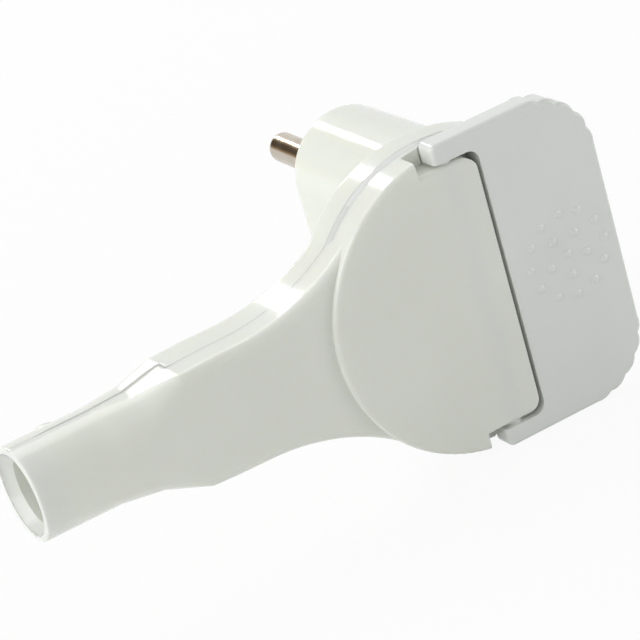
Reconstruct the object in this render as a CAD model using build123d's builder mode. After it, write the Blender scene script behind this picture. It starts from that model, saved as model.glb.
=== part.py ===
"""Two-pole angled plug with a fold-out pull handle.

Millimetres. The origin is the centre of the pin face, between the two pins.
+Y is the way the pins are pushed in, +Z runs along the line through both pins and
+X points away from the cable, to the free end of the handle.
Depths (names ending in _d) are measured from the pin face towards the hand, along -Y.
"""
import os
from math import atan2, degrees, sqrt
from build123d import *

os.makedirs("parts", exist_ok=True)

# contact pins: thin round pins with insulated shanks and terminal pillars
pin_pitch = 19.0
pin_r = 2.0
pin_len = 19.0
pin_tip_round = 1.25
core_r = 1.5
core_sink = 0.5
sleeve_r = 1.82
sleeve_out = 10.0
pin_hole_clear = 0.03
flange_r = 3.6
flange_t = 1.4
pillar_r = 3.1
pillar_len = 11.0
pillar_chamfer = 0.3
wire_hole_r = 1.25
wire_hole_up = 8.6

# base that enters the recess of the wall socket
base_half = 7.8
base_end = 18.8
base_depth = 20.0
base_draft = 1.1
base_edge = 0.75
base_wall = 2.0
face_wall = 2.6

# round head: rear shell, deck under the handle, handle, all as layers
head_x = -1.2
head_rim = 1.2
rear_layer = 4.0
deck_t = 1.5
handle_gap = 0.1
handle_t = 3.3
wall = 1.8
head_edge = 0.6
disc_inset = 0.25
disc_edge = 0.6
disc_step = 0.8
parting_gap = 0.08

# tongue of the disc between the arms of the handle
notch_x = -4.75
tongue_inset = 2.5
tongue_end_x = 3.3
tongue_corner = 2.35
tongue_shoulder = 0.75
tongue_bevel = 0.2
tongue_wall = 2.0
tongue_root = 2.0

# neck and cable tube
kink_run = 7.6
kink_half = 7.5
kink_t = 9.4
waist_half = 7.75
flare_r = 28.6
flare_inset = 0.45
neck_step = 0.1
slope_run = 23.4
slope_lead = 2.0
neck_edge = 1.1
neck_wall = 1.7
throat_t = 6.1
tube_r = 6.0
tube_blend = 10.6
tube_len = 10.4
tube_square = 0.35
tube_mid_half = 6.25
tube_mid_t = 11.1
tube_mid_edge = 4.0
tube_edge = 0.3
bore_r = 4.3
mouth_r = 5.3
mouth_len = 3.2

# handle
handle_over = 0.45
arm_clear = 0.45
inner_gap = 0.48
inner_corner = 1.55
handle_end_x = 19.55
handle_corner = 8.4
handle_edge = 0.6
handle_rear_edge = 0.4
lobe_r = 2.45
lobe_edge = 0.45
lobe_count = 5
corner_inset = 1.3
corner_trim = 12
lobe_lap = 0.25
arm_end_x = -2.25
arm_corner = 0.8
hinge_x = -0.4
trunnion_r = 1.1
trunnion_len = 2.2
hinge_clear = 0.05
pocket_clear = 0.11
dot_x = 12.0
dot_ring_out = 5.45
dot_ring_in = 2.78
dot_count_out = 12
dot_count_in = 5
dot_ball_r = 0.8
dot_height = 0.28

# screws, cord clamp and contact carrier
screw_clear = 0.1
thread_clear = 0.04
slot_w = 0.8
slot_deep = 0.8
tip_room = 0.4
face_screw_r = 1.5
face_screw_head_r = 2.7
face_screw_head_t = 1.9
face_screw_seat_d = 2.3
face_screw_bite = 13.0
seat_wall = 1.0
carrier_t = 7.0
carrier_clear = 0.15
pillar_clear = 0.05
post_r = 3.2
shell_screw_x = -17.5
shell_screw_z = 8.2
shell_screw_r = 1.25
shell_screw_head_r = 2.2
shell_screw_head_t = 1.4
shell_screw_sink = 2.0
shell_screw_bite = 3.0
shell_boss_r = 3.0
cover_boss_r = 2.6
terminal_screw_r = 1.25
terminal_head_r = 2.2
terminal_head_t = 1.8
terminal_gap = 0.6
clamp_inset = 8.1
clamp_boss_r = 2.7
clamp_boss_up = 3.9
clamp_boss_edge = 0.6
lug_inset = 4.2
lug_r = 2.1
lug_up = 2.4
clamp_screw_r = 1.5
clamp_screw_sink = 0.3
saddle_len = 7.0
saddle_t = 2.0
saddle_seat = 0.8
saddle_clear = 0.05

# worked out from the sizes above
far = 100.0
pin_z = pin_pitch / 2
carrier_d = face_wall + flange_t
carrier_top_d = carrier_d + carrier_t
pillar_end_d = carrier_d + pillar_len
wire_hole_d = carrier_d + wire_hole_up
head_rear_d = base_depth
split_d = head_rear_d + rear_layer
deck_d = split_d + deck_t
handle_d = deck_d + handle_gap
disc_d = handle_d + handle_t
hinge_d = handle_d + handle_t / 2
head_r = base_end + head_rim
disc_r = head_r - disc_inset
tongue_half = head_r - tongue_inset
flare_z = waist_half + flare_r
flare_x = head_x - sqrt((head_r - flare_inset + flare_r) ** 2 - flare_z**2)
flare_turn = degrees(atan2(head_x - flare_x, flare_z))
kink_x = flare_x - kink_run
slope_x = kink_x + slope_run
tube_start_x = kink_x - tube_blend
tube_end_x = tube_start_x - tube_len
clamp_x = tube_end_x + clamp_inset
neck_front_d = disc_d - disc_step
neck_rear_d = head_rear_d + neck_step
tube_axis_d = neck_front_d - tube_r
handle_half = head_r + handle_over
handle_inner_half = tongue_half + arm_clear
handle_inner_x = tongue_end_x + inner_gap
arm_pocket_r = sqrt((hinge_x - arm_end_x) ** 2 + (handle_t / 2) ** 2) + pocket_clear
shell_seat_d = head_rear_d + shell_screw_sink
shell_screw_end_d = split_d + shell_screw_bite
face_screw_end_d = carrier_top_d + face_screw_bite
terminal_head_d = pillar_end_d + terminal_gap
clamp_boss_d = tube_axis_d - tube_r - clamp_boss_up
lug_x = tube_end_x + lug_inset
lug_d = tube_axis_d - tube_r - lug_up
saddle_rear_d = tube_axis_d - bore_r + saddle_clear
clamp_screw_end_d = saddle_rear_d + saddle_seat
shell_screw_spots = [(shell_screw_x, shell_screw_z), (shell_screw_x, -shell_screw_z)]
pin_spots = [(0, pin_z), (0, -pin_z)]
down_one_pitch = Location((0, 0, -pin_pitch))


def plan(d):
    """Plane at depth d: sketch x is X, sketch y is Z, extruding goes to the hand."""
    return Plane.XZ.offset(d)


def across(x):
    """Plane across the neck at x: sketch x is the depth, sketch y is Z, extruding goes to the cable."""
    return Plane(origin=(x, 0, 0), x_dir=(0, -1, 0), z_dir=(-1, 0, 0))


def along_shell(edge):
    """True for an edge that runs along the neck, not across it and not straight up its end faces."""
    run = edge.tangent_at(0.5)
    return abs(run.Z) < 0.95 and abs(run.Y) < 0.5


# outline of the neck: an arc that flares into the head, then a shallow arc out to the kink
with BuildSketch() as neck_outline:
    with BuildLine():
        flare = CenterArc((flare_x, flare_z), flare_r, -90, flare_turn)
        TangentArc(flare @ 0, (kink_x, kink_half), tangent=(-1, 0))
        Line((kink_x, kink_half), (kink_x, 0))
        Line(flare @ 1, ((flare @ 1).X, 0))
        Line(((flare @ 1).X, 0), (kink_x, 0))
    make_face()
    mirror(about=Plane.XZ)

# neck and cable tube as one outside shape
with BuildPart() as neck_body:
    with BuildSketch(plan(neck_front_d)):
        add(neck_outline.sketch)
    extrude(amount=-kink_t)
    with BuildSketch(Plane.XY):
        with BuildLine():
            slope = TangentArc((kink_x - slope_lead, kink_t - neck_front_d), (slope_x, -neck_rear_d),
                               tangent=(1, 0))
            Polyline(slope @ 1, (0, -neck_rear_d), (0, 0), (kink_x - slope_lead, 0), slope @ 0)
        make_face()
    extrude(amount=far, both=True, mode=Mode.SUBTRACT)
    fillet(neck_body.edges().filter_by(along_shell), neck_edge)

# the tube grows out of the end face of the neck and turns nearly round
tube_mid_x = (kink_x + tube_start_x) / 2
with BuildSketch(across(tube_mid_x)) as tube_middle:
    with Locations((neck_front_d - tube_mid_t / 2, 0)):
        RectangleRounded(tube_mid_t, 2 * tube_mid_half, tube_mid_edge)
with BuildSketch(across(tube_start_x)) as tube_start:
    with Locations((tube_axis_d, 0)):
        RectangleRounded(2 * tube_r, 2 * tube_r, tube_r - tube_square)
with BuildPart() as tube_body:
    loft(sections=[neck_body.faces().sort_by(Axis.X)[0], tube_middle.sketch])
    loft(sections=[tube_body.faces().sort_by(Axis.X)[0], tube_start.sketch])
    extrude(tube_body.faces().sort_by(Axis.X)[0], amount=tube_start_x - tube_end_x)
    fillet(tube_body.faces().sort_by(Axis.X)[0].edges(), tube_edge)

# room inside the neck and the bore of the tube
with BuildPart() as neck_room:
    with BuildSketch(plan(head_rear_d + wall)):
        add(neck_outline.sketch)
        offset(amount=-neck_wall, kind=Kind.INTERSECTION)
    extrude(amount=neck_front_d - neck_wall - head_rear_d - wall)
    with BuildSketch(across(kink_x + neck_wall)):
        with Locations((neck_front_d - neck_wall, 0)):
            Rectangle(throat_t, 2 * bore_r, align=(Align.MAX, Align.CENTER))
    extrude(amount=kink_x + neck_wall - tube_mid_x)
    with BuildSketch(across(tube_mid_x)):
        with Locations((tube_axis_d, 0)):
            Circle(bore_r)
    extrude(amount=far)
    with BuildSketch(across(tube_end_x + mouth_len)):
        with Locations((tube_axis_d, 0)):
            Circle(mouth_r)
    extrude(amount=far)

# rear shell: base, back of the head, back half of neck and tube
with BuildPart() as rear_shell:
    with BuildSketch(plan(head_rear_d)):
        with Locations((head_x, 0)):
            Circle(head_r)
    extrude(amount=disc_d - head_rear_d)
    fillet(rear_shell.edges().filter_by(GeomType.CIRCLE).sort_by(Axis.Y)[-1], head_edge)
    with BuildSketch(plan(0)):
        SlotOverall(2 * base_end, 2 * base_half, rotation=90)
    extrude(amount=base_depth + wall / 2, taper=-base_draft)
    fillet(rear_shell.edges().group_by(Axis.Y)[-1], base_edge)
    add(neck_body.part)
    add(tube_body.part)
    # boss of the clamp screw and the lower lug beside it
    for boss_x, boss_r, boss_d in ((clamp_x, clamp_boss_r, clamp_boss_d), (lug_x, lug_r, lug_d)):
        with BuildSketch(plan(boss_d)):
            with Locations((boss_x, 0)):
                Circle(boss_r)
        extrude(amount=tube_axis_d - boss_d)
        fillet(rear_shell.edges(Select.LAST).filter_by(GeomType.CIRCLE).sort_by(Axis.Y)[-1], clamp_boss_edge)
    # everything in front of the parting belongs to the cover
    with BuildSketch(plan(split_d)):
        with Locations((kink_x, 0)):
            Rectangle(far, far, align=(Align.MIN, Align.CENTER))
    extrude(amount=far, mode=Mode.SUBTRACT)
    with BuildSketch(plan(tube_axis_d)):
        with Locations((kink_x, 0)):
            Rectangle(far, far, align=(Align.MAX, Align.CENTER))
    extrude(amount=far, mode=Mode.SUBTRACT)
    # rooms inside
    with BuildSketch(plan(head_rear_d + wall)):
        with Locations((head_x, 0)):
            Circle(head_r - wall)
    extrude(amount=far, mode=Mode.SUBTRACT)
    with BuildSketch(plan(face_wall)):
        SlotOverall(2 * (base_end - base_wall), 2 * (base_half - base_wall), rotation=90)
    extrude(amount=far, mode=Mode.SUBTRACT)
    add(neck_room.part, mode=Mode.SUBTRACT)
    # seats of the shell screws
    with BuildSketch(plan(shell_seat_d - seat_wall)):
        with Locations(shell_screw_spots):
            Circle(shell_boss_r)
    extrude(amount=split_d - shell_seat_d + seat_wall)
    with BuildSketch(plan(shell_seat_d)):
        with Locations(shell_screw_spots):
            Circle(shell_screw_head_r + screw_clear)
    extrude(amount=-far, mode=Mode.SUBTRACT)
    with BuildSketch(plan(shell_seat_d)):
        with Locations(shell_screw_spots):
            Circle(shell_screw_r + screw_clear)
    extrude(amount=far, mode=Mode.SUBTRACT)
    # seat of the face screw and holes of the pins
    with BuildSketch(plan(face_wall - seat_wall)):
        Circle(face_screw_head_r + seat_wall)
    extrude(amount=seat_wall + flange_t)
    with BuildSketch(plan(face_screw_seat_d)):
        Circle(face_screw_head_r + screw_clear)
    extrude(amount=-far, mode=Mode.SUBTRACT)
    with BuildSketch(plan(0)):
        Circle(face_screw_r + screw_clear)
        with Locations(pin_spots):
            Circle(pin_r + pin_hole_clear)
    extrude(amount=carrier_top_d, mode=Mode.SUBTRACT)
    # hole of the cord clamp screw
    with BuildSketch(plan(clamp_boss_d)):
        with Locations((clamp_x, 0)):
            Circle(clamp_screw_r + thread_clear)
    extrude(amount=tube_axis_d - clamp_boss_d, mode=Mode.SUBTRACT)

# tongue of the disc: rounded shoulders along the arms, a nearly sharp end at the grip
with BuildPart() as tongue_body:
    with BuildSketch(across(tongue_end_x)) as tongue_profile:
        with Locations((disc_d, 0)):
            Rectangle(disc_d - split_d, 2 * tongue_half, align=(Align.MAX, Align.CENTER))
        fillet(tongue_profile.vertices().group_by(Axis.X)[-1], tongue_shoulder)
    extrude(amount=tongue_end_x - notch_x + tongue_root)
    with BuildSketch(plan(split_d)) as tongue_outline:
        with Locations((tongue_end_x, 0)):
            Rectangle(far, 2 * tongue_half, align=(Align.MAX, Align.CENTER))
        fillet(tongue_outline.vertices().group_by(Axis.X)[-1], tongue_corner)
    extrude(amount=far, mode=Mode.INTERSECT)
    with BuildSketch(Plane.XY):
        with BuildLine():
            Polyline((tongue_end_x - tongue_bevel, -disc_d), (tongue_end_x, -disc_d),
                     (tongue_end_x, tongue_bevel - disc_d), close=True)
        make_face()
    extrude(amount=far, both=True, mode=Mode.SUBTRACT)

# front cover: deck under the handle, raised disc, front half of neck and tube
with BuildPart() as front_cover:
    with BuildSketch(plan(split_d)):
        with Locations((head_x, 0)):
            Circle(disc_r)
    extrude(amount=disc_d - split_d)
    fillet(front_cover.edges().filter_by(GeomType.CIRCLE).sort_by(Axis.Y)[0], disc_edge)
    # room for the handle in front of the deck
    with BuildSketch(plan(deck_d)):
        with Locations((notch_x, 0)):
            Rectangle(far, far, align=(Align.MIN, Align.CENTER))
    extrude(amount=far, mode=Mode.SUBTRACT)
    add(tongue_body.part)
    add(neck_body.part)
    add(tube_body.part)
    # everything behind the parting belongs to the rear shell
    with BuildSketch(plan(split_d + parting_gap)):
        with Locations((kink_x - parting_gap, 0)):
            Rectangle(far, far, align=(Align.MIN, Align.CENTER))
    extrude(amount=-far, mode=Mode.SUBTRACT)
    with BuildSketch(plan(tube_axis_d + parting_gap)):
        with Locations((kink_x, 0)):
            Rectangle(far, far, align=(Align.MAX, Align.CENTER))
    extrude(amount=-far, mode=Mode.SUBTRACT)
    # rooms inside
    with BuildSketch(plan(split_d)):
        with Locations((head_x, 0)):
            Circle(head_r - wall)
        with Locations((tongue_end_x - wall, 0)):
            Rectangle(far, 2 * (tongue_half - tongue_wall), align=(Align.MAX, Align.CENTER), mode=Mode.INTERSECT)
    extrude(amount=disc_d - wall - split_d, mode=Mode.SUBTRACT)
    add(neck_room.part, mode=Mode.SUBTRACT)
    # pockets for the arm ends and holes for the trunnions
    for side in (1, -1):
        with BuildSketch(Plane.XY.offset(side * tongue_half)):
            with Locations((hinge_x, -hinge_d)):
                Circle(arm_pocket_r)
        extrude(amount=side * far, mode=Mode.SUBTRACT)
    with BuildSketch(Plane.XY):
        with Locations((hinge_x, -hinge_d)):
            Circle(trunnion_r + hinge_clear)
    extrude(amount=far, both=True, mode=Mode.SUBTRACT)
    # screw posts
    with BuildSketch(plan(carrier_top_d)):
        Circle(post_r)
    extrude(amount=disc_d - wall / 2 - carrier_top_d)
    with BuildSketch(plan(split_d)):
        with Locations(shell_screw_spots):
            Circle(cover_boss_r)
    extrude(amount=neck_front_d - neck_wall / 2 - split_d)
    with BuildSketch(plan(carrier_top_d)):
        Circle(face_screw_r + thread_clear)
    extrude(amount=face_screw_bite + tip_room, mode=Mode.SUBTRACT)
    with BuildSketch(plan(split_d)):
        with Locations(shell_screw_spots):
            Circle(shell_screw_r + thread_clear)
    extrude(amount=shell_screw_bite + tip_room, mode=Mode.SUBTRACT)

# fold-out handle: grip plate with two arms
arc_x = handle_end_x - handle_corner
arc_z = handle_half - handle_corner
corner_spots = [
    Vector(arc_x, arc_z) + Vector(handle_corner - corner_inset, 0).rotate(Axis.Z, turn)
    for turn in (90 - corner_trim, 45, corner_trim)
]
with BuildPart() as lobe:
    with BuildSketch(plan(handle_d)):
        Circle(lobe_r)
    extrude(amount=handle_t)
    fillet(lobe.edges().filter_by(GeomType.CIRCLE).sort_by(Axis.Y)[0], lobe_edge)

with BuildPart() as pull_handle:
    with BuildSketch(plan(handle_d)) as handle_outline:
        with BuildLine():
            Polyline((handle_end_x, 0), (arm_end_x, 0), (arm_end_x, handle_half),
                     (arc_x + lobe_lap, handle_half), corner_spots[0])
            ThreePointArc(*corner_spots)
            Polyline(corner_spots[2], (handle_end_x, arc_z + lobe_lap), (handle_end_x, 0))
        make_face()
        mirror(about=Plane.XZ)
        fillet(handle_outline.vertices().group_by(Axis.X)[0], arm_corner)
    extrude(amount=handle_t)
    for side, soft in ((0, handle_edge), (-1, handle_rear_edge)):
        rim = pull_handle.edges().group_by(Axis.Y)[side]
        fillet(rim.filter_by_position(Axis.X, -far, arc_x) + rim.sort_by(Axis.X)[-1:], soft)
    # scalloped corners of the grip
    lobe_step = 90 / (lobe_count - 0.5)
    for side in (1, -1):
        for k in range(lobe_count):
            spot = Vector(handle_corner - lobe_r, 0).rotate(Axis.Z, (k + 0.25) * lobe_step)
            with Locations((arc_x + spot.X, 0, side * (arc_z + spot.Y))):
                add(lobe.part)
    with BuildSketch(plan(handle_d)) as opening:
        with Locations((handle_inner_x, 0)):
            Rectangle(far, 2 * handle_inner_half, align=(Align.MAX, Align.CENTER))
        fillet(opening.vertices().group_by(Axis.X)[-1], inner_corner)
    extrude(amount=handle_t, mode=Mode.SUBTRACT)
    # trunnions that turn in the cover
    for side in (1, -1):
        with BuildSketch(Plane.XY.offset(side * (handle_inner_half + arm_clear))):
            with Locations((hinge_x, -hinge_d)):
                Circle(trunnion_r)
        extrude(amount=-side * (arm_clear + trunnion_len))
    # grip dots
    dot_spots = [Vector(0, 0)]
    for k in range(dot_count_out):
        dot_spots.append(Vector(dot_ring_out, 0).rotate(Axis.Z, 360 / dot_count_out * k))
    for k in range(dot_count_in):
        dot_spots.append(Vector(0, -dot_ring_in).rotate(Axis.Z, 360 / dot_count_in * k))
    with Locations([(dot_x + spot.X, dot_ball_r - dot_height - disc_d, spot.Y) for spot in dot_spots]):
        Sphere(dot_ball_r)

# contact pin with its terminal pillar, upper one
with BuildPart() as pin_upper:
    with BuildSketch(plan(-pin_len)):
        with Locations((0, pin_z)):
            Circle(pin_r)
    extrude(amount=pin_len - sleeve_out)
    fillet(pin_upper.edges().group_by(Axis.Y)[-1], pin_tip_round)
    with BuildSketch(plan(-sleeve_out - core_sink)):
        with Locations((0, pin_z)):
            Circle(core_r)
    extrude(amount=sleeve_out + face_wall + 2 * core_sink)
    with BuildSketch(plan(face_wall)):
        with Locations((0, pin_z)):
            Circle(flange_r)
    extrude(amount=flange_t)
    with BuildSketch(plan(carrier_d)):
        with Locations((0, pin_z)):
            Circle(pillar_r)
    extrude(amount=pillar_len)
    chamfer(pin_upper.edges().group_by(Axis.Y)[0], pillar_chamfer)
    with BuildSketch(plan(wire_hole_d)):
        with Locations((0, pin_z)):
            Circle(terminal_screw_r + thread_clear)
    extrude(amount=far, mode=Mode.SUBTRACT)
    with BuildSketch(Plane.YZ):
        with Locations((-wire_hole_d, pin_z)):
            Circle(wire_hole_r)
    extrude(amount=far, both=True, mode=Mode.SUBTRACT)

with BuildPart() as pin_lower:
    add(pin_upper.part.moved(down_one_pitch))

# insulating sleeve on the shank of each pin
with BuildPart() as sleeve_upper:
    with BuildSketch(plan(-sleeve_out)):
        with Locations((0, pin_z)):
            Circle(sleeve_r)
            Circle(core_r, mode=Mode.SUBTRACT)
    extrude(amount=sleeve_out + face_wall)

with BuildPart() as sleeve_lower:
    add(sleeve_upper.part.moved(down_one_pitch))

# carrier that holds both pillars down in the base
with BuildPart() as contact_carrier:
    with BuildSketch(plan(carrier_d)):
        SlotOverall(2 * (base_end - base_wall - carrier_clear), 2 * (base_half - base_wall - carrier_clear),
                    rotation=90)
        Circle(face_screw_r + screw_clear, mode=Mode.SUBTRACT)
        with Locations(pin_spots):
            Circle(pillar_r + pillar_clear, mode=Mode.SUBTRACT)
    extrude(amount=carrier_t)

# terminal screw, slotted, in the end of the pillar
with BuildPart() as terminal_screw_upper:
    with BuildSketch(plan(wire_hole_d + wire_hole_r)):
        with Locations((0, pin_z)):
            Circle(terminal_screw_r)
    extrude(amount=terminal_head_d - wire_hole_d - wire_hole_r)
    with BuildSketch(plan(terminal_head_d)):
        with Locations((0, pin_z)):
            Circle(terminal_head_r)
    extrude(amount=terminal_head_t)
    with BuildSketch(plan(terminal_head_d + terminal_head_t)):
        with Locations((0, pin_z)):
            Rectangle(far, slot_w)
    extrude(amount=-slot_deep, mode=Mode.SUBTRACT)

with BuildPart() as terminal_screw_lower:
    add(terminal_screw_upper.part.moved(down_one_pitch))

# long screw from the pin face through the carrier into the post of the cover
with BuildPart() as face_screw:
    with BuildSketch(plan(face_screw_seat_d - face_screw_head_t)):
        Circle(face_screw_head_r)
    extrude(amount=face_screw_head_t)
    with BuildSketch(plan(face_screw_seat_d)):
        Circle(face_screw_r)
    extrude(amount=face_screw_end_d - face_screw_seat_d)
    with BuildSketch(plan(face_screw_seat_d - face_screw_head_t)):
        Rectangle(far, slot_w)
    extrude(amount=slot_deep, mode=Mode.SUBTRACT)

# short screws that close the flare of the shell
with BuildPart() as shell_screw_upper:
    with BuildSketch(plan(shell_seat_d - shell_screw_head_t)):
        with Locations(shell_screw_spots[0]):
            Circle(shell_screw_head_r)
    extrude(amount=shell_screw_head_t)
    with BuildSketch(plan(shell_seat_d)):
        with Locations(shell_screw_spots[0]):
            Circle(shell_screw_r)
    extrude(amount=shell_screw_end_d - shell_seat_d)
    with BuildSketch(plan(shell_seat_d - shell_screw_head_t)):
        with Locations(shell_screw_spots[0]):
            Rectangle(far, slot_w)
    extrude(amount=slot_deep, mode=Mode.SUBTRACT)

with BuildPart() as shell_screw_lower:
    add(shell_screw_upper.part.moved(Location((0, 0, -2 * shell_screw_z))))

# saddle that presses on the cord, and its screw
with BuildPart() as clamp_saddle:
    with BuildSketch(across(clamp_x + saddle_len / 2)):
        with Locations((tube_axis_d, 0)):
            Circle(bore_r - saddle_clear)
        with Locations((saddle_rear_d + saddle_t, 0)):
            Rectangle(far, far, align=(Align.MIN, Align.CENTER), mode=Mode.SUBTRACT)
    extrude(amount=saddle_len)
    with BuildSketch(plan(clamp_screw_end_d)):
        with Locations((clamp_x, 0)):
            Circle(clamp_screw_r + screw_clear)
    extrude(amount=-far, mode=Mode.SUBTRACT)

with BuildPart() as clamp_screw:
    with BuildSketch(plan(clamp_boss_d + clamp_screw_sink)):
        with Locations((clamp_x, 0)):
            Circle(clamp_screw_r)
    extrude(amount=clamp_screw_end_d - clamp_boss_d - clamp_screw_sink)
    with BuildSketch(plan(clamp_boss_d + clamp_screw_sink)):
        with Locations((clamp_x, 0)):
            Rectangle(far, slot_w)
    extrude(amount=slot_deep, mode=Mode.SUBTRACT)

pieces = {
    "rear_shell": rear_shell,
    "front_cover": front_cover,
    "pull_handle": pull_handle,
    "pin_upper": pin_upper,
    "pin_lower": pin_lower,
    "sleeve_upper": sleeve_upper,
    "sleeve_lower": sleeve_lower,
    "contact_carrier": contact_carrier,
    "terminal_screw_upper": terminal_screw_upper,
    "terminal_screw_lower": terminal_screw_lower,
    "face_screw": face_screw,
    "shell_screw_upper": shell_screw_upper,
    "shell_screw_lower": shell_screw_lower,
    "clamp_saddle": clamp_saddle,
    "clamp_screw": clamp_screw,
}
for name, piece in pieces.items():
    piece.part.label = name
    export_step(piece.part, "parts/" + name + ".step")
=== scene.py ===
from math import cos, radians, sin

import bmesh
import bpy
from mathutils import Matrix, Vector


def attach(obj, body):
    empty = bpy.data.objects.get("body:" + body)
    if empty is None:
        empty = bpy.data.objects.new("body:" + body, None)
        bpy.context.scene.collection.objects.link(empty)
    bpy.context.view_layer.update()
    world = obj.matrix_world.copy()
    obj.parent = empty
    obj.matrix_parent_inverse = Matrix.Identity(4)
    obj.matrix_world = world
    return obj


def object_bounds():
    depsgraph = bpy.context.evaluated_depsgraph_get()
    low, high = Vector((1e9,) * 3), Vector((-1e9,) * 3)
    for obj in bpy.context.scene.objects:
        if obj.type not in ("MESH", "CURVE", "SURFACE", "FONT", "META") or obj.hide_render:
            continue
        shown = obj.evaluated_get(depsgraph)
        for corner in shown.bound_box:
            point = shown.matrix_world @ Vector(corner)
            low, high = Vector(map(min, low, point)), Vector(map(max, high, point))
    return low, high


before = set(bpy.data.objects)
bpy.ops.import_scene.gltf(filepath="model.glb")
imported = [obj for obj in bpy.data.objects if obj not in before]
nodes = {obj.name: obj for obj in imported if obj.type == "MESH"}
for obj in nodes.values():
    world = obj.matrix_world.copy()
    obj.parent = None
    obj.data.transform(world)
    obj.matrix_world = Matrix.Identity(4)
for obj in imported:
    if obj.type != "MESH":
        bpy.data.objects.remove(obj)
cad_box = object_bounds()
scene = bpy.context.scene
scene.view_settings.view_transform = "Standard"


# camera at the photograph's viewing angle
def camera_axes(azimuth, elevation, roll):
    """Right, up and backward directions of a camera that looks at the plug from that side."""
    a, e, r = radians(azimuth), radians(elevation), radians(roll)
    back = Vector((sin(a) * cos(e), -cos(a) * cos(e), sin(e)))
    level = Vector((cos(a), sin(a), 0))
    upright = back.cross(level)
    return level * cos(r) + upright * sin(r), upright * cos(r) - level * sin(r), back


right, up, back = camera_axes(azimuth=-23.14, elevation=23.32, roll=-16.39)
camera = bpy.data.objects.new("photo_camera", bpy.data.cameras.new("photo_camera"))
camera.data.lens = 189.57
camera.data.sensor_width = 36
camera.data.clip_start = 0.01
camera.location = (-0.16490, -0.36332, 0.16337)
camera.rotation_euler = Matrix((right, up, back)).transposed().to_euler()
scene.collection.objects.link(camera)
scene.camera = camera


# materials
def combine(tree, operation, first, second):
    """The result of a Math node on a socket and either a second socket or a number."""
    made = tree.nodes.new("ShaderNodeMath")
    made.operation = operation
    tree.links.new(first, made.inputs[0])
    if isinstance(second, float):
        made.inputs[1].default_value = second
    else:
        tree.links.new(second, made.inputs[1])
    return made.outputs["Value"]


class Finish:
    """A material whose patterns read the piece's own coordinates, in metres."""

    # the part of a noise's range over which a pattern runs from its low to its high value
    start, end = 0.3, 0.7

    def __init__(self, name, colour, roughness, metallic=0.0):
        self.material = bpy.data.materials.new(name)
        self.material.use_nodes = True
        self.tree = self.material.node_tree
        self.shader = self.tree.nodes["Principled BSDF"]
        self.shader.inputs["Base Color"].default_value = (*colour, 1)
        self.shader.inputs["Roughness"].default_value = roughness
        self.shader.inputs["Metallic"].default_value = metallic
        self.place = self.node("ShaderNodeTexCoord").outputs["Object"]

    def node(self, kind, **sockets):
        made = self.tree.nodes.new(kind)
        for name, value in sockets.items():
            made.inputs[name.replace("_", " ")].default_value = value
        return made

    def link(self, start, end):
        self.tree.links.new(start, end)

    def noise(self, scale, detail, stretch=(1, 1, 1)):
        """Soft noise, with scale as waves in a metre and stretch by axis."""
        mapping = self.node("ShaderNodeMapping", Scale=stretch)
        self.link(self.place, mapping.inputs["Vector"])
        made = self.node("ShaderNodeTexNoise", Scale=scale, Detail=detail)
        self.link(mapping.outputs["Vector"], made.inputs["Vector"])
        return made.outputs["Fac"]

    def colour(self, pattern, low, high):
        """A colour that runs from low to high with the pattern."""
        made = self.node("ShaderNodeValToRGB")
        places = (self.start, self.end)
        for element, place, tone in zip(made.color_ramp.elements, places, (low, high)):
            element.position = place
            element.color = (*tone, 1)
        self.link(pattern, made.inputs["Fac"])
        self.link(made.outputs["Color"], self.shader.inputs["Base Color"])

    def fade(self, value, start, end, low, high):
        """A number that runs from low to high while the value runs from start to end."""
        made = self.node("ShaderNodeMapRange", From_Min=start, From_Max=end, To_Min=low, To_Max=high)
        self.link(value, made.inputs["Value"])
        return made.outputs["Result"]

    def roughness(self, pattern, low, high):
        """A roughness that runs from low to high with the pattern."""
        spread = self.fade(pattern, self.start, self.end, low, high)
        self.link(spread, self.shader.inputs["Roughness"])

    def bump(self, pattern, height, strength):
        """A relief of that height in metres."""
        made = self.node("ShaderNodeBump", Strength=strength, Distance=height)
        self.link(pattern, made.inputs["Height"])
        self.link(made.outputs["Normal"], self.shader.inputs["Normal"])

    def soften(self, radius, rise, fall):
        """Rounds the shading over that radius, from the stretch rise to the stretch fall along X."""
        along = self.node("ShaderNodeSeparateXYZ")
        self.link(self.place, along.inputs["Vector"])
        coming = self.fade(along.outputs["X"], *rise, 0, radius)
        going = self.fade(along.outputs["X"], *fall, 1, 0)
        made = self.node("ShaderNodeBevel")
        made.samples = 8
        self.link(combine(self.tree, "MULTIPLY", coming, going), made.inputs["Radius"])
        self.link(made.outputs["Normal"], self.shader.inputs["Normal"])


def moulded_white(name, low, high, smooth, dull):
    """Moulded plastic: faint cloudiness in the colour, faint flow ripple in the gloss."""
    finish = Finish(name, high, dull)
    finish.colour(finish.noise(scale=60, detail=2.0), low, high)
    finish.roughness(finish.noise(scale=120, detail=1.0), smooth, dull)
    finish.shader.inputs["IOR"].default_value = 1.49
    return finish


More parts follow.
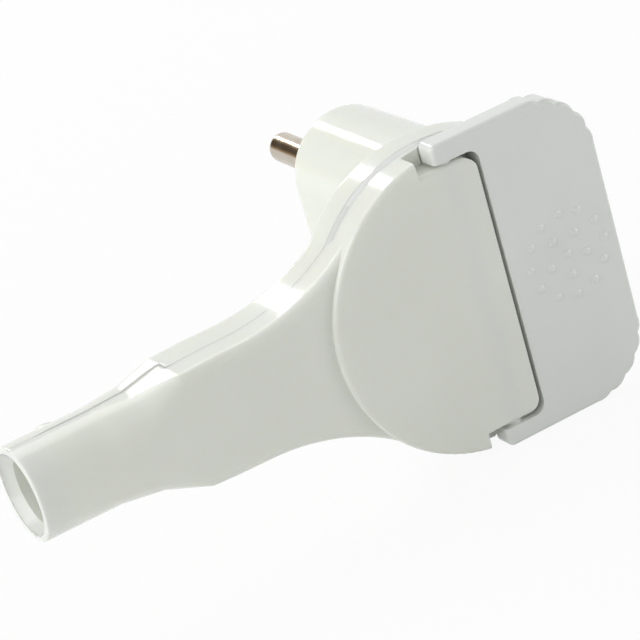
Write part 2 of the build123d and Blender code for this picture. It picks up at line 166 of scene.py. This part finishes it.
# the shells let a little light in, and the blend from neck to tube is softened
shell_white = moulded_white(
    "shell_white", low=(0.805, 0.828, 0.755), high=(0.828, 0.851, 0.783), smooth=0.07, dull=0.12)
shell_white.shader.inputs["Subsurface Weight"].default_value = 0.25
shell_white.shader.inputs["Subsurface Radius"].default_value = (1.0, 1.0, 0.6)
shell_white.shader.inputs["Subsurface Scale"].default_value = 0.002
shell_white.soften(radius=0.0015, rise=(-0.058, -0.055), fall=(-0.042, -0.039))
handle_white = moulded_white(
    "handle_white", low=(0.775, 0.802, 0.762), high=(0.800, 0.827, 0.790), smooth=0.08, dull=0.13)
sleeve_white = moulded_white(
    "sleeve_white", low=(0.74, 0.75, 0.72), high=(0.80, 0.81, 0.78), smooth=0.42, dull=0.52)
carrier_cream = moulded_white(
    "carrier_cream", low=(0.70, 0.70, 0.64), high=(0.76, 0.76, 0.71), smooth=0.48, dull=0.60)

# plated pins with fine turning marks round them
pin_nickel = Finish("pin_nickel", (0.53, 0.48, 0.40), roughness=0.17, metallic=1.0)
pin_nickel.colour(pin_nickel.noise(scale=300, detail=3.0), low=(0.49, 0.44, 0.36), high=(0.57, 0.52, 0.44))
pin_nickel.roughness(pin_nickel.noise(scale=500, detail=2.0), low=0.13, high=0.20)
pin_marks = pin_nickel.noise(scale=400, detail=2.0, stretch=(0.4, 12, 0.4))
pin_nickel.bump(pin_marks, height=0.00001, strength=0.4)

# zinc-plated screws, slightly mottled
screw_zinc = Finish("screw_zinc", (0.62, 0.62, 0.60), roughness=0.35, metallic=1.0)
screw_zinc.colour(screw_zinc.noise(scale=700, detail=3.0), low=(0.52, 0.52, 0.50), high=(0.68, 0.68, 0.66))
screw_zinc.roughness(screw_zinc.noise(scale=900, detail=2.0, stretch=(1, 1, 6)), low=0.28, high=0.42)
screw_marks = screw_zinc.noise(scale=900, detail=2.0, stretch=(6, 1, 1))
screw_zinc.bump(screw_marks, height=0.00001, strength=0.5)

finishes = {
    "rear_shell": shell_white,
    "front_cover": shell_white,
    "pull_handle": handle_white,
    "pin_upper": pin_nickel,
    "pin_lower": pin_nickel,
    "sleeve_upper": sleeve_white,
    "sleeve_lower": sleeve_white,
    "contact_carrier": carrier_cream,
    "clamp_saddle": carrier_cream,
}
for name, node in nodes.items():
    node.data.materials.clear()
    node.data.materials.append(finishes.get(name, screw_zinc).material)


# trim of the two shells
def make_object(form, name, finish):
    """An object at the origin from a finished form."""
    mesh = bpy.data.meshes.new(name)
    form.to_mesh(mesh)
    form.free()
    mesh.materials.append(finish.material)
    made = bpy.data.objects.new(name, mesh)
    scene.collection.objects.link(made)
    return made


def shell_piece(form, name):
    """A piece of the plug's shells from a finished form."""
    bmesh.ops.recalc_face_normals(form, faces=form.faces)
    piece = make_object(form, name, shell_white)
    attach(piece, "plug")


def cover_lip(levels, below, thickness):
    """Lip that fills the parting: the cover's own faces at those levels along Y, drawn in and made thick."""
    form = bmesh.new()
    form.from_mesh(nodes["front_cover"].data)
    bmesh.ops.remove_doubles(form, verts=form.verts, dist=1e-6)
    form.normal_update()
    rest = [face for face in form.faces
            if face.normal.y < 0.999 or min(abs(face.calc_center_median().y - y) for y in levels) > 1e-5]
    bmesh.ops.delete(form, geom=rest, context="FACES")
    rim = bmesh.ops.inset_region(form, faces=form.faces[:], thickness=below, use_boundary=True,
                                 use_even_offset=True)
    bmesh.ops.delete(form, geom=rim["faces"], context="FACES")
    bmesh.ops.dissolve_degenerate(form, edges=form.edges, dist=1e-5)
    raised = bmesh.ops.extrude_face_region(form, geom=form.faces[:], use_keep_orig=True)["geom"]
    corners = [part for part in raised if isinstance(part, bmesh.types.BMVert)]
    bmesh.ops.translate(form, verts=corners, vec=(0, thickness, 0))
    shell_piece(form, "cover_lip")


def cover_rim(centre_x, outer, inner, level, height, half_turn):
    """Slanted foot of the cover that meets the edge of the rear shell, round the head up to the neck."""
    form = bmesh.new()
    section = ((inner, level), (outer, level), (inner, level - height))
    foot = form.faces.new([form.verts.new((centre_x + radius, y, 0)) for radius, y in section])
    centre, axis = Vector((centre_x, 0, 0)), Vector((0, 1, 0))
    bmesh.ops.rotate(form, verts=form.verts, cent=centre, matrix=Matrix.Rotation(-half_turn, 3, axis))
    bmesh.ops.spin(form, geom=[foot], cent=centre, axis=axis, angle=2 * half_turn, steps=180)
    shell_piece(form, "cover_rim")


def mouth_funnel(axis_y, lip_x, throat_x, back_x, mouth, bore):
    """Lead-in of the tube's mouth, which ends flush with the bore behind it."""
    form = bmesh.new()
    section = ((lip_x, mouth), (back_x, mouth), (back_x, bore), (throat_x, bore))
    corners = [form.verts.new((x, axis_y + radius, 0)) for x, radius in section]
    outline = [form.edges.new((corners[i - 1], corners[i])) for i in range(len(corners))]
    bmesh.ops.spin(form, geom=corners + outline, cent=(0, axis_y, 0), axis=(1, 0, 0), angle=radians(360),
                   steps=96, use_merge=True)
    shell_piece(form, "mouth_funnel")


cover_lip(levels=(-0.02408, -0.02218), below=0.00008, thickness=0.00007)
cover_rim(centre_x=-0.0012, outer=0.01997, inner=0.01974, level=-0.02401, height=0.00085,
          half_turn=radians(140))
mouth_funnel(axis_y=-0.0221, lip_x=-0.0613, throat_x=-0.0600, back_x=-0.0582, mouth=0.00528, bore=0.00432)


# pale floor and soft studio light
def plain_view(tree):
    """1 for rays from the camera or off a shiny or clear surface, which see plain white, 0 for the rest."""
    path = tree.nodes.new("ShaderNodeLightPath").outputs
    shiny = combine(tree, "MAXIMUM", path["Is Glossy Ray"], path["Is Transmission Ray"])
    return combine(tree, "MAXIMUM", path["Is Camera Ray"], shiny)


def pale_floor(height, half, white_share):
    """A floor that looks almost white and keeps a trace of the plug's shadow."""
    finish = Finish("floor_white", (0.8, 0.8, 0.8), roughness=0.9)
    glow = finish.node("ShaderNodeEmission", Color=(1, 1, 1, 1), Strength=1.0)
    mix = finish.node("ShaderNodeMixShader")
    finish.link(combine(finish.tree, "MULTIPLY", plain_view(finish.tree), white_share), mix.inputs[0])
    finish.link(finish.shader.outputs[0], mix.inputs[1])
    finish.link(glow.outputs[0], mix.inputs[2])
    finish.link(mix.outputs[0], finish.tree.nodes["Material Output"].inputs["Surface"])
    form = bmesh.new()
    bmesh.ops.create_grid(form, x_segments=1, y_segments=1, size=half, matrix=Matrix.Translation((0, 0, height)))
    make_object(form, "floor", finish)


def soft_box(name, toward, distance, width, height, watts):
    """A soft box that faces the plug from that side, with its width level."""
    middle = (cad_box[0] + cad_box[1]) / 2
    side = Vector(toward).normalized()
    lamp = bpy.data.objects.new(name, bpy.data.lights.new(name, "AREA"))
    lamp.data.shape = "RECTANGLE"
    lamp.data.size = width
    lamp.data.size_y = height
    lamp.data.energy = watts
    lamp.location = middle + side * distance
    lamp.rotation_euler = side.to_track_quat("Z", "Y").to_euler()
    scene.collection.objects.link(lamp)


def white_room(light, corner, corner_tones):
    """Even light all round and a white backdrop, with a dark corner that only shows in shiny surfaces."""
    scene.world = bpy.data.worlds.new("studio")
    scene.world.use_nodes = True
    tree = scene.world.node_tree
    surround = tree.nodes["Background"]
    surround.inputs["Color"].default_value = (1, 1, 1, 1)
    surround.inputs["Strength"].default_value = light
    white = tree.nodes.new("ShaderNodeBackground")
    white.inputs["Strength"].default_value = 1.0
    mix = tree.nodes.new("ShaderNodeMixShader")
    tree.links.new(plain_view(tree), mix.inputs[0])
    tree.links.new(surround.outputs[0], mix.inputs[1])
    tree.links.new(white.outputs[0], mix.inputs[2])
    tree.links.new(mix.outputs[0], tree.nodes["World Output"].inputs["Surface"])

    toward = tree.nodes.new("ShaderNodeTexCoord").outputs["Generated"]
    nearness = tree.nodes.new("ShaderNodeVectorMath")
    nearness.operation = "DOT_PRODUCT"
    nearness.inputs[1].default_value = Vector(corner).normalized()
    tree.links.new(toward, nearness.inputs[0])
    camera_ray = tree.nodes.new("ShaderNodeLightPath").outputs["Is Camera Ray"]
    shade = tree.nodes.new("ShaderNodeValToRGB")
    tree.links.new(combine(tree, "SUBTRACT", nearness.outputs["Value"], camera_ray), shade.inputs["Fac"])
    middle_place = corner_tones[1][0]
    shade.color_ramp.elements.new(middle_place)
    for element, (place, tone) in reversed(list(zip(shade.color_ramp.elements, corner_tones))):
        element.position = place
        element.color = (*tone, 1)
    tree.links.new(shade.outputs["Color"], white.inputs["Color"])


pale_floor(height=cad_box[0].z - 0.0002, half=3.0, white_share=0.92)
soft_box("back_box", toward=(0.06, 0.85, 0.52), distance=0.60, width=0.06, height=0.26, watts=0.67)
soft_box("left_box", toward=(-0.90, -0.06, 0.44), distance=0.80, width=0.80, height=0.80, watts=4.2)
soft_box("top_box", toward=(0.00, 0.55, 0.85), distance=0.80, width=0.70, height=0.50, watts=1.9)
soft_box("right_box", toward=(0.82, -0.45, 0.15), distance=0.60, width=0.25, height=0.25, watts=0.80)
white_room(light=0.37, corner=(-0.36, 0.84, 0.34), corner_tones=(
    (0.91, (1, 1, 1)), (0.95, (0.50, 0.36, 0.21)), (0.985, (0.11, 0.085, 0.06))))
